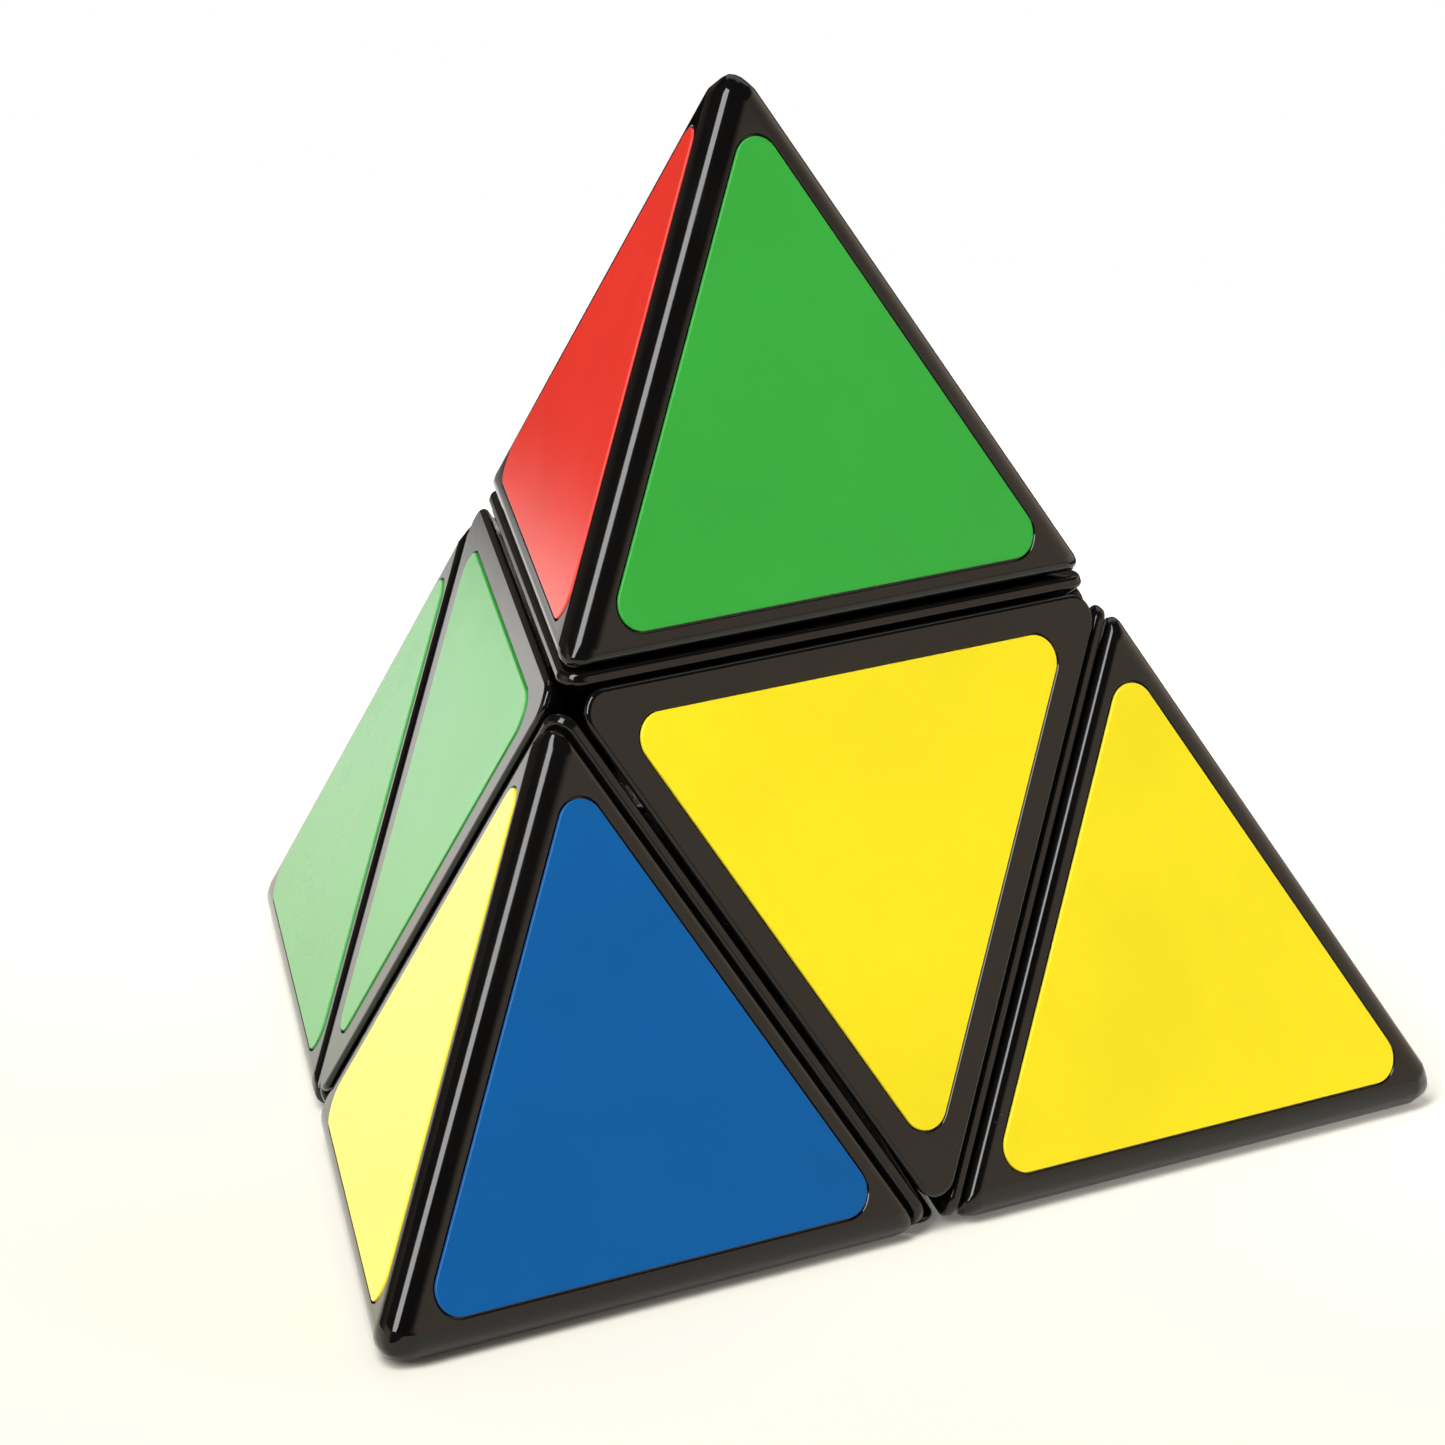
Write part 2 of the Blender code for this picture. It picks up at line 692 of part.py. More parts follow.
def build():
    clear_scene()
    black = material("black_plastic", (0.012, 0.011, 0.011), 0.16)
    inner = material("inner_plastic", (0.03, 0.03, 0.032), 0.35)
    core_plastic = material("core_plastic", (0.55, 0.55, 0.53), 0.4)
    steel = material("screw_steel", (0.62, 0.61, 0.6), 0.25, 1.0)
    spring_steel = material("spring_steel", (0.5, 0.5, 0.5), 0.3, 1.0)
    vinyl = {GREEN: "green_vinyl", BLUE: "blue_vinyl", YELLOW: "yellow_vinyl", RED: "red_vinyl"}
    puzzle = puzzle_frame()

    cap_mesh = shape(corner_cap(), "corner_cap", 40)
    base_mesh = shape(corner_base(), "corner_base")
    corner_sticker = shape(sticker(corner_outline, "right"), "corner_sticker")
    for corner, axis in CORNERS.items():
        turn = half_turn(axis)
        place(f"{corner}_corner_cap", cap_mesh, turn, puzzle, black)
        place(f"{corner}_corner_base", base_mesh, turn, puzzle, black)
        for step in range(3):
            spun = turn @ Matrix.Rotation(radians(120 * step), 4, DIAGONAL)
            outward = spun.to_3x3() @ OUTER["right"]
            side = max(OUTER, key=lambda name: OUTER[name].dot(outward))
            colour = CORNER_STICKERS[corner][side]
            finish = material(vinyl[colour], colour, 0.2)
            place(f"{corner}_corner_sticker_{side}", corner_sticker, spun, puzzle, finish)

    lid_mesh = shape(face_cap(), "face_cap", 40)
    face_mesh = shape(face_base(), "face_base")
    fixed_mesh = shape(fixed_base(), "fixed_base")
    face_sticker = shape(sticker(face_outline, "base"), "face_sticker")
    for face, axis in FACES.items():
        turn = half_turn(axis)
        place(f"{face}_face_cap", lid_mesh, turn, puzzle, black)
        place(f"{face}_face_base", face_mesh if axis else fixed_mesh, turn, puzzle, black)
        colour = FACE_STICKERS[face]
        place(f"{face}_face_sticker", face_sticker, turn, puzzle, material(vinyl[colour], colour, 0.2))

    edge_mesh = shape(hidden_edge(), "hidden_edge")
    for (corner, face), (first, second) in HIDDEN_EDGES.items():
        name = f"hidden_edge_{corner}_corner_{face}_face"
        place(name, edge_mesh, edge_frame(first, second), puzzle, inner)

    hub_mesh = shape(turning_hub(), "hub")
    screw_mesh = shape(pan_screw(HEAD_FROM), "axle_screw", 40)
    washer_mesh = shape(washer(), "washer")
    spring_mesh = shape(spring(), "spring", 60)
    for layer, axis in LAYERS.items():
        turn = axis_frame(axis)
        place(f"{layer}_hub", hub_mesh, turn, puzzle, inner)
        place(f"{layer}_axle_screw", screw_mesh, turn, puzzle, steel)
        place(f"{layer}_washer", washer_mesh, turn, puzzle, steel)
        place(f"{layer}_spring", spring_mesh, turn, puzzle, spring_steel)

    place("core", shape(core(), "core", 30), Matrix.Identity(4), puzzle, core_plastic)
    fixed_screw = shape(pan_screw(FIXED_HEAD_FROM), "base_face_screw", 40)
    down = (-DIAGONAL).to_track_quat("Z", "Y").to_matrix().to_4x4()
    place("base_face_screw", fixed_screw, down, puzzle, steel)


build()
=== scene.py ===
"""The pyramid twisty puzzle's looks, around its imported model.

Every piece is modelled again here with fine rounding and its own surface, at the place and size of the
node that it stands for. The puzzle's axes u, v and w meet at its centre and run out through the middles of
the three upper edges. A piece is modelled in u, v, w, once for each kind, and turned about the centre.
"""

import json
from math import cos, pi, radians, sin, sqrt, tan

import bmesh
import bpy
from mathutils import Matrix, Vector

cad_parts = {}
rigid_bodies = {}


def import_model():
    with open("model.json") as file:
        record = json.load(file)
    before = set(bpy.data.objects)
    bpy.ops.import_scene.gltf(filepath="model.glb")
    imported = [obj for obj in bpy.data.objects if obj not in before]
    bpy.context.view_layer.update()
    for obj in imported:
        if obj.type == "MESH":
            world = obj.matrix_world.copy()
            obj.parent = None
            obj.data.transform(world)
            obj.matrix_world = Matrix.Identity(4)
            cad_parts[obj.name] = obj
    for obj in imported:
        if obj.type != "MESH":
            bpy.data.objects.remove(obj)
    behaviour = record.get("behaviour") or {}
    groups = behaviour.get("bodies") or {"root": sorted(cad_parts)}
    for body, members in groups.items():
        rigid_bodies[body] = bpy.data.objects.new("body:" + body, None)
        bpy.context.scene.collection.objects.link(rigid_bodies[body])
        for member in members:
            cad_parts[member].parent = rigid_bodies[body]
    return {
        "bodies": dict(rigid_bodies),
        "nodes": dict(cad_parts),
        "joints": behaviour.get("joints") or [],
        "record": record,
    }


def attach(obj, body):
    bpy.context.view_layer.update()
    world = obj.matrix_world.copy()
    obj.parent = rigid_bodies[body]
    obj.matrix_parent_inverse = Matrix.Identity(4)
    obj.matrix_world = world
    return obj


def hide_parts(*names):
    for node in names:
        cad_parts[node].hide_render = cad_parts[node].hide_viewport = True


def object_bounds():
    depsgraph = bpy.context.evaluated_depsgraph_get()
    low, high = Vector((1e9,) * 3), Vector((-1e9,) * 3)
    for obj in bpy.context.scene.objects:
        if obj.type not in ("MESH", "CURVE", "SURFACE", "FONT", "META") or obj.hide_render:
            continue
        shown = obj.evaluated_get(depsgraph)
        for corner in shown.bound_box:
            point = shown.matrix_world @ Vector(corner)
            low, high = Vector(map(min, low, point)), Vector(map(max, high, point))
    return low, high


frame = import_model()
CAD_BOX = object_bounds()

# The pyramid, worked out from the height of the joints' common centre
CENTRE = Vector(frame["joints"][0]["pos_m"])
HEIGHT = 4 * CENTRE.z
EDGE = HEIGHT / sqrt(2 / 3)
SPAN = EDGE / sqrt(8)  # centre to the middle of an edge
FACE_DISTANCE = SPAN / sqrt(3)

# Skin of the outer pieces
PLASTIC_INSET = 0.0001  # the plastic lies this far inside the stickers' outer faces
STICKER_THICK = 0.00025
STICKER_POCKET = 0.00035
STICKER_ROLL = ((0, 0.00008), (0.00001, 0.00004), (0.00003, 0.000015), (0.00007, 0))  # inset and depth
STICKER_SIDE_GAP = 0.00015
POCKET_CHAMFER = 0.00006
POCKET_REACH = 0.0005  # how far the pocket's cutter runs on past the face, and as far outward
STICKER_CORNER = 0.0018
FREE_STICKER_INSET = 0.00302  # a corner piece's sticker to the pyramid's own edges
CUT_STICKER_INSET = 0.0025  # the same sticker to the cut
FACE_STICKER_INSET = 0.0028  # a face piece's sticker to the cuts
CORNER_ROUND = 0.00185
CUT_ROUND = 0.0008
WALL = 0.0016
ROUND_SEGMENTS = 8

# Cuts and seams
HALF_GAP = 0.00015
CAP_SEAM = 0.00052
BASE_SEAM = 0.00028
RIM_INSET = 0.0005
RIM_ROUND = 0.00036
RIM_CORNER = 0.0014  # of the rim's outline, where it turns round a corner of the piece
INNER_CORNER = 0.0008  # of the same outline deep inside
LID_ROUND = 0.00034
LID_CORNER = 0.00175
LID_UNDER_ROUND = 0.0002
LID_DEPTH = 0.002
FACE_BASE_DEPTH = 0.0022
LID_SKIN = 0.00095
BOSS_DEPTH = 0.0012
BOSS_RADIUS = 0.0092
CORNER_BOSS_RADIUS = 0.0135
CORNER_BOSS_RISE = 0.0018
BOSS_GAP = 0.0003
BOSS_CORNER = 0.001
BOSS_ROOT = 0.0003

# Mechanism
R_OUTER = 0.0166
R_HUB = 0.0162
R_UNDER = 0.0126
R_FOOT = 0.0122
R_SOLE = 0.0087
R_CORE = 0.0083
NECK = 0.00575
EDGE_HALF = 0.00545
FOOT = 0.00375
TONGUE_HALF = 0.00345
STEM_RADIUS = 0.0034
STEM_BOTTOM = 0.00875
CORE_BOSS_TOP = 0.00845
CORE_BOSS_RADIUS = 0.0032
CORE_INSIDE = 0.0045
FIXED_SOLE = 0.0069
SCREW_TIP = 0.003  # where the hole for it ends, from the centre
SCREW_TIP_GAP = 0.0004
SCREW_POINT = 0.0004  # the radius of its end, and how far from there the thread starts
SCREW_PLAIN = 0.001  # of the shank under the head, without thread
SCREW_RADIUS = 0.001
THREAD_DEPTH = 0.00018
THREAD_PITCH = 0.0006
SCREW_HOLE = 0.00125
HUB_BORE = 0.0014
SPRING_WELL = 0.0026
WELL_FLOOR = 0.0102
SPRING_RADIUS = 0.00205
SPRING_WIRE = 0.00025
SPRING_FROM = 0.0106
SPRING_TO = 0.0131
SPRING_TURNS = 4
WASHER_FROM = 0.0135
WASHER_THICK = 0.0004
WASHER_RADIUS = 0.0024
WASHER_ROUND = 0.00008
HEAD_FROM = 0.0141
HEAD_THICK = 0.0014
HEAD_RIM = HEAD_THICK * 0.45  # the upright part of the head's side
HEAD_DOME = HEAD_THICK * 0.55
HEAD_RADIUS = 0.0023
HEAD_CHAMFER = 0.0001
SLOT_WIDTH = 0.0005
SLOT_LENGTH = 0.0026
SLOT_DEPTH = 0.0007
POST_RADIUS = 0.004
POST_FROM = 0.0100
POST_HOLE = 0.0043
SEAT_RADIUS = 0.0035
SEAT_TOP = 0.0097
FIXED_HEAD_FROM = 0.0150
FIXED_WELL = 0.0027

SPHERE_STEPS = 64
ROUND_STEPS = 40
OUTLINE_STEPS = 14  # facets round each corner of a triangular outline
BOSS_STEPS = 6  # the same for a boss
PROFILE_STEPS = 8
HEAD_STEPS = 6
SPRING_STEPS = 28  # for each turn
OVERLAP = 0.0005  # how far joined shapes reach into each other
REACH = 0.001  # how far a cutter reaches past the surface that it opens
FAR = 0.08
WELD = 1e-6
ON_PLANE = 1e-7
FACING = 0.9  # cosine above which a face looks along a direction
PRINTED_FACING = 0.75  # the same for a sticker's printed top with its rolled edge

UNIT = {"u": Vector((1, 0, 0)), "v": Vector((0, 1, 0)), "w": Vector((0, 0, 1))}
DIAGONAL = Vector((1, 1, 1)).normalized()
OUTER = {
    "base": -DIAGONAL,
    "back": Vector((-1, 1, 1)).normalized(),
    "left": Vector((1, -1, 1)).normalized(),
    "right": Vector((1, 1, -1)).normalized(),
}
CORNERS = {"front": "u", "right": "v", "left": "w", "top": None}
FACES = {"back": "u", "left": "v", "right": "w", "base": None}
HIDDEN_EDGES = {
    ("top", "right"): ("+u", "+v"),
    ("top", "left"): ("+u", "+w"),
    ("top", "back"): ("+v", "+w"),
    ("front", "left"): ("+u", "-v"),
    ("front", "right"): ("+u", "-w"),
    ("right", "back"): ("-u", "+v"),
    ("right", "right"): ("+v", "-w"),
    ("left", "back"): ("-u", "+w"),
    ("left", "left"): ("-v", "+w"),
}
FIXED_EDGES = (("-u", "-v"), ("-u", "-w"), ("-v", "-w"))
LAYERS = {"front": "u", "right": "v", "left": "w"}


def signed(name):
    """The unit vector of "+u", "-v" and the like."""
    return UNIT[name[1]] * (1 if name[0] == "+" else -1)


def columns(x, y, z):
    return Matrix((x, y, z)).transposed().to_4x4()


# Solids


def helper(bm):
    """An object from a finished bmesh, linked to the scene."""
    bmesh.ops.recalc_face_normals(bm, faces=bm.faces)
    mesh = bpy.data.meshes.new("helper")
    bm.to_mesh(mesh)
    bm.free()
    obj = bpy.data.objects.new("helper", mesh)
    bpy.context.scene.collection.objects.link(obj)
    return obj


def settled(obj):
    """The object with its modifiers applied, and points that fell together made one."""
    bpy.context.view_layer.update()
    mesh = bpy.data.meshes.new_from_object(obj.evaluated_get(bpy.context.evaluated_depsgraph_get()))
    bm = bmesh.new()
    bm.from_mesh(mesh)
    bmesh.ops.remove_doubles(bm, verts=bm.verts, dist=WELD)
    bmesh.ops.dissolve_degenerate(bm, edges=bm.edges, dist=WELD)
    bm.to_mesh(mesh)
    bm.free()
    obj.modifiers.clear()
    obj.data = mesh
    return obj


def combined(first, others, operation):
    """The Boolean of the first object with the others, which are used up."""
    for other in others:
        modifier = first.modifiers.new(operation.lower(), "BOOLEAN")
        modifier.operation = operation
        modifier.object = other
        modifier.solver = "EXACT"
        settled(first)
        bpy.data.objects.remove(other)
    return first


def cut(first, *others):
    return combined(first, others, "DIFFERENCE")


def join(first, *others):
    return combined(first, others, "UNION")


def common(first, *others):
    return combined(first, others, "INTERSECT")


def convex(planes):
    """The solid behind every plane, each given as an outward normal and a distance from the centre."""
    bm = bmesh.new()
    bmesh.ops.create_cube(bm, size=2 * FAR)
    for normal, distance in planes:
        outward = normal.normalized()
        done = bmesh.ops.bisect_plane(
            bm,
            geom=bm.verts[:] + bm.edges[:] + bm.faces[:],
            dist=ON_PLANE,
            plane_co=outward * distance,
            plane_no=outward,
            clear_outer=True,
        )
        rim = [item for item in done["geom_cut"] if isinstance(item, bmesh.types.BMEdge)]
        if rim:
            bmesh.ops.edgeloop_fill(bm, edges=rim)
    return helper(bm)


def ball(radius):
    bm = bmesh.new()
    bmesh.ops.create_uvsphere(bm, u_segments=SPHERE_STEPS, v_segments=SPHERE_STEPS // 2, radius=radius)
    return helper(bm)


def rod(radius, bottom, top, direction=UNIT["w"], steps=ROUND_STEPS):
    """A cylinder along a direction from the centre."""
    bm = bmesh.new()
    bmesh.ops.create_cone(
        bm, cap_ends=True, segments=steps, radius1=radius, radius2=radius, depth=top - bottom
    )
    turn = direction.to_track_quat("Z", "Y").to_matrix().to_4x4()
    bmesh.ops.transform(bm, matrix=turn @ Matrix.Translation((0, 0, (top + bottom) / 2)), verts=bm.verts)
    return helper(bm)


def loft(sections, place):
    """A solid through outlines with equally many points, each given with its height in a frame."""
    bm = bmesh.new()
    rings = [[bm.verts.new((x, y, height)) for x, y in outline] for outline, height in sections]
    count = len(rings[0])
    for low, high in zip(rings, rings[1:]):
        for k in range(count):
            following = (k + 1) % count
            bm.faces.new((low[k], low[following], high[following], high[k]))
    bm.faces.new(rings[0])
    bm.faces.new(rings[-1])
    bmesh.ops.transform(bm, matrix=place, verts=bm.verts)
    return helper(bm)


def turned(profile, steps=ROUND_STEPS):
    """A solid of revolution about the w axis from radius and height pairs, its ends on the axis."""
    bm = bmesh.new()
    rings = []
    for radius, height in profile:
        angles = [2 * pi * k / steps for k in range(steps)]
        rings.append([bm.verts.new((radius * cos(a), radius * sin(a), height)) for a in angles])
    for low, high in zip(rings, rings[1:]):
        for k in range(steps):
            following = (k + 1) % steps
            bm.faces.new((low[k], low[following], high[following], high[k]))
    bm.faces.new(rings[0])
    bm.faces.new(rings[-1])
    return helper(bm)


def rounded(obj, widths, segments=ROUND_SEGMENTS):
    """Rounds the edges between pairs of faces. widths gives how far each rounding runs in, from normals."""
    mesh = obj.data
    weights = mesh.attributes.new("bevel_weight_edge", "FLOAT", "EDGE")
    found = [widths(edge_normals(obj, edge)) for edge in mesh.edges]
    widest = max(found)
    for weight, width in zip(weights.data, found):
        weight.value = width / widest
    bevel = obj.modifiers.new("rounded_edges", "BEVEL")
    bevel.limit_method = "WEIGHT"
    bevel.offset_type = "OFFSET"
    bevel.width = widest
    bevel.segments = segments
    bevel.use_clamp_overlap = False
    return settled(obj)


def edge_normals(obj, edge):
    """The outward normals of the two faces at an edge."""
    ends = set(edge.vertices)
    return [face.normal for face in obj.data.polygons if ends <= set(face.vertices)]


def tangent_run(radius, normals):
    """How far from a sharp edge a fillet of this radius touches its faces."""
    return radius / tan((pi - normals[0].angle(normals[1])) / 2)


def turned_to(obj, matrix):
    obj.data.transform(matrix)
    if matrix.determinant() < 0:
        obj.data.flip_normals()
    return obj


# Outer faces and stickers


def upright(outward, towards):
    """A frame about the centre with z outward and y as near as it can be to a direction."""
    uphill = (towards - outward * towards.dot(outward)).normalized()
    return columns(uphill.cross(outward), uphill, outward)


def face_frame(side):
    """A frame on an outer plane of the pyramid: z out, y towards one of the face's corners."""
    corner = UNIT["u"] if side == "base" else DIAGONAL
    return upright(OUTER[side], corner) @ Matrix.Translation((0, 0, FACE_DISTANCE))


def triangle(sides, corner, steps=OUTLINE_STEPS):
    """A triangle with rounded corners, from the distances of its sides from the origin: the lower side,
    then the upper right and the upper left."""
    headings = [radians(a) for a in (-90, 30, 150)]
    normals = [Vector((cos(a), sin(a))) for a in headings]
    points = []
    for k, heading in enumerate(headings):
        following = (k + 1) % 3
        sides_here = Matrix((normals[k], normals[following]))
        middle = sides_here.inverted() @ Vector((sides[k] - corner, sides[following] - corner))
        for step in range(steps + 1):
            angle = heading + radians(120) * step / steps
            points.append(tuple(middle + corner * Vector((cos(angle), sin(angle)))))
    return points


SMALL_INRADIUS = EDGE / 2 / sqrt(12)  # of the triangle that each outer piece shows
CORNER_OFFSET = 2 * SMALL_INRADIUS


def corner_outline(grow=0.0):
    """The sticker at the upper corner of a face: its lower side is along a cut."""
    cut_side = SMALL_INRADIUS - CUT_STICKER_INSET + grow
    free_side = SMALL_INRADIUS - FREE_STICKER_INSET + grow
    outline = triangle((cut_side, free_side, free_side), STICKER_CORNER + grow)
    return [(x, y + CORNER_OFFSET) for x, y in outline]


def face_outline(grow=0.0):
    """The sticker in the middle of a face, a triangle that points down."""
    side = SMALL_INRADIUS - FACE_STICKER_INSET + grow
    return [(-x, -y) for x, y in triangle((side, side, side), STICKER_CORNER + grow)]


def sticker(outline, side):
    """A thin film whose upper edge is rolled over by the punch that cut it."""
    sections = [(outline(), -STICKER_THICK)]
    sections += [(outline(-inset), -depth) for inset, depth in STICKER_ROLL]
    return loft(sections, face_frame(side))


def pocket(outline, side):
    """The cutter for a sticker's pocket, with a small chamfer at the mouth."""
    gap = STICKER_SIDE_GAP
    sections = [
        (outline(gap), -STICKER_POCKET),
        (outline(gap), -PLASTIC_INSET - POCKET_CHAMFER),
        (outline(gap + POCKET_CHAMFER), -PLASTIC_INSET),
        (outline(gap + POCKET_REACH), POCKET_REACH),
    ]
    return loft(sections, face_frame(side))


# Triangular outlines stacked along the diagonal of an octant


def wedge_side(height):
    """Distance from the diagonal to the octant's own faces, at a height along it."""
    return sqrt(3 / 2) * (height / sqrt(3) - HALF_GAP)


def rim_side(height):
    """Distance from the diagonal to the rim's planes, which lie a little inside the outer faces."""
    return sqrt(3 / 8) * (sqrt(3) * (FACE_DISTANCE - RIM_INSET) - height / sqrt(3))


def filleted(points, radii):
    """The inner points of a path as arcs, each with its own radius."""
    path = []
    for before, at, after, radius in zip(points, points[1:], points[2:], radii):
        to_before = (before - at).normalized()
        to_after = (after - at).normalized()
        half = to_before.angle(to_after) / 2
        run = radius / tan(half)
        centre = at + (to_before + to_after).normalized() * radius / sin(half)
        start = (at + to_before * run - centre).normalized()
        end = (at + to_after * run - centre).normalized()
        for step in range(PROFILE_STEPS + 1):
            path.append(centre + start.slerp(end, step / PROFILE_STEPS) * radius)
    return path


def stacked(path, corner, frame):
    """A solid from a path of side distances and heights. The outline's corners keep their centres while
    it grows and shrinks near its widest, and stay a little rounded where it is much smaller."""
    widest = max(point.x for point in path)
    sections = []
    for side, height in path:
        radius = max(corner - (widest - side), INNER_CORNER)
        sections.append((triangle((side, side, side), radius), height))
    return loft(sections, frame)


CORNER_FRAME = upright(DIAGONAL, UNIT["u"])
FACE_FRAME = upright(-DIAGONAL, -UNIT["u"])
TIP_HEIGHT = 0.008  # where the stacked bodies start, inside the ball that hollows them


# Corner pieces, modelled at the top corner where u, v and w are all positive


def seam_distance(rise):
    """Distance along the diagonal of the plane that meets the outer faces this far from the cuts."""
    return (SPAN + 2 * rise) / sqrt(3)


def corner_sides():
    return [OUTER[side] for side in ("right", "left", "back")]


def corner_cap():
    outer = [(normal, FACE_DISTANCE - PLASTIC_INSET) for normal in corner_sides()]
    shell = convex([*outer, (-DIAGONAL, -seam_distance(CAP_SEAM))])

    def width(normals):
        at_cut = min(normal.dot(DIAGONAL) for normal in normals) < -FACING
        return tangent_run(CUT_ROUND if at_cut else CORNER_ROUND, normals)

    rounded(shell, width)
    inner = [(normal, FACE_DISTANCE - WALL) for normal in corner_sides()]
    hollow = convex([*inner, (-DIAGONAL, REACH - seam_distance(CAP_SEAM))])
    pockets = []
    for turn in (0, 120, 240):
        cutter = pocket(corner_outline, "right")
        pockets.append(turned_to(cutter, Matrix.Rotation(radians(turn), 4, DIAGONAL)))
    return cut(shell, hollow, *pockets)


def foot():
    """The neck and foot that hold an outer piece under the hidden edges, for u, v and w above zero."""
    backs = [-axis for axis in UNIT.values()]
    toe = common(convex([(back, -FOOT) for back in backs]), ball(R_FOOT))
    neck = common(convex([(back, -NECK) for back in backs]), ball(R_OUTER + OVERLAP))
    return cut(join(toe, neck), ball(R_SOLE))


def boss(radius, bottom, top, frame):
    """A triangular plug about the diagonal whose corners point along the three axes."""
    outline = triangle((radius / 2,) * 3, BOSS_CORNER, BOSS_STEPS)
    return loft([(outline, bottom), (outline, top)], frame)


def corner_base():
    top = seam_distance(BASE_SEAM)
    meeting = FACE_DISTANCE - RIM_INSET + 2 * HALF_GAP / sqrt(3)
    points = [
        Vector((wedge_side(TIP_HEIGHT), TIP_HEIGHT)),
        Vector((wedge_side(meeting), meeting)),
        Vector((rim_side(top), top)),
        Vector((0, top)),
    ]
    path = [points[0], *filleted(points, (RIM_ROUND, RIM_ROUND))]
    body = cut(stacked(path, RIM_CORNER, CORNER_FRAME), ball(R_OUTER))
    plug = boss(CORNER_BOSS_RADIUS, top - OVERLAP, top + CORNER_BOSS_RISE, CORNER_FRAME)
    return join(body, plug, foot())


# Face pieces, modelled at the base face where u, v and w are all negative


def face_cap():
    low, high = FACE_DISTANCE - LID_DEPTH, FACE_DISTANCE - PLASTIC_INSET
    points = [
        Vector((0, low)),
        Vector((wedge_side(low), low)),
        Vector((wedge_side(high), high)),
        Vector((0, high)),
    ]
    lid = stacked(filleted(points, (LID_UNDER_ROUND, LID_ROUND)), LID_CORNER, FACE_FRAME)
    recess = boss(BOSS_RADIUS + 2 * BOSS_GAP, low - REACH, FACE_DISTANCE - LID_SKIN, FACE_FRAME)
    return cut(lid, recess, pocket(face_outline, "base"))


def face_body():
    """The moulding under the lid, without its neck."""
    top = FACE_DISTANCE - FACE_BASE_DEPTH
    path = [Vector((wedge_side(height), height)) for height in (TIP_HEIGHT, top)]
    corner = LID_CORNER - wedge_side(FACE_DISTANCE) + wedge_side(top)
    hollowed = cut(stacked(path, corner, FACE_FRAME), ball(R_OUTER))
    return join(hollowed, boss(BOSS_RADIUS, top - BOSS_ROOT, FACE_DISTANCE - BOSS_DEPTH, FACE_FRAME))


def face_base():
    return join(face_body(), turned_to(foot(), Matrix.Scale(-1, 4)))


def fixed_base():
    """The base face piece: a straight post down to the core, and a hole for its screw."""
    body = join(face_body(), rod(POST_RADIUS, POST_FROM, R_OUTER + BOSS_ROOT, -DIAGONAL))
    bore = rod(SCREW_HOLE, POST_FROM - REACH, FACE_DISTANCE, -DIAGONAL)
    well = rod(FIXED_WELL, FIXED_HEAD_FROM - BOSS_ROOT, FACE_DISTANCE + REACH, -DIAGONAL)
    return cut(body, bore, well)


# The mechanism


def shell_block(planes, inner, outer):
    return cut(common(convex(planes), ball(outer)), ball(inner))


def hidden_edge(sole=R_SOLE):
    """An edge piece on the diagonal of u and v: a block over the feet and a tongue under the hubs."""

    def slab(half, near):
        planes = [(UNIT["w"], half), (-UNIT["w"], half)]
        return planes + [(-UNIT["u"], -near), (-UNIT["v"], -near)]

    block = shell_block(slab(EDGE_HALF, NECK), R_UNDER, R_HUB)
    tongue = shell_block(slab(TONGUE_HALF, FOOT), sole, R_FOOT)
    neck = shell_block(slab(TONGUE_HALF, NECK), R_FOOT - OVERLAP, R_UNDER + OVERLAP)
    return join(block, neck, tongue)


def hub(stem_bottom=STEM_BOTTOM):
    """A centre on the w axis: a square disc over the tongues, and a round stem."""
    planes = []
    for axis in (UNIT["u"], UNIT["v"]):
        planes += [(axis, EDGE_HALF), (-axis, EDGE_HALF)]
    planes.append((-UNIT["w"], 0))
    return join(shell_block(planes, R_UNDER, R_HUB), rod(STEM_RADIUS, stem_bottom, R_UNDER + OVERLAP))


def turning_hub():
    return cut(hub(), rod(HUB_BORE, 0, FAR), rod(SPRING_WELL, WELL_FLOOR, FAR))


def axis_frame(name):
    """Turns the w axis to a named axis, and u and v to the two that follow it round."""
    order = "uvw"
    at = order.index(name)
    return columns(UNIT[order[(at + 1) % 3]], UNIT[order[(at + 2) % 3]], UNIT[name])


def edge_frame(first, second):
    """Turns the diagonal of u and v to that of two signed axes."""
    a, b = signed(first), signed(second)
    return columns(a, b, a.cross(b))


def core():
    """The core with the three fixed hubs, the three fixed edges and the seat of the base face piece."""
    body = turned_to(ball(R_CORE), upright(DIAGONAL, UNIT["u"]))
    parts = [rod(SEAT_RADIUS, CORE_INSIDE, SEAT_TOP, -DIAGONAL)]
    for name in LAYERS.values():
        parts.append(rod(CORE_BOSS_RADIUS, CORE_INSIDE, CORE_BOSS_TOP, UNIT[name]))
    fixed = [turned_to(hub(CORE_INSIDE), axis_frame(name) @ Matrix.Rotation(pi, 4, "X")) for name in UNIT]
    fixed += [turned_to(hidden_edge(FIXED_SOLE), edge_frame(*pair)) for pair in FIXED_EDGES]
    for piece in fixed:
        parts.append(cut(piece, rod(POST_HOLE, CORE_INSIDE, FAR, -DIAGONAL)))
    join(body, *parts)
    holes = [rod(SCREW_HOLE, SCREW_TIP, FAR / 2, UNIT[name]) for name in LAYERS.values()]
    holes.append(rod(SCREW_HOLE, SCREW_TIP, FAR / 2, -DIAGONAL))
    return cut(body, *holes)


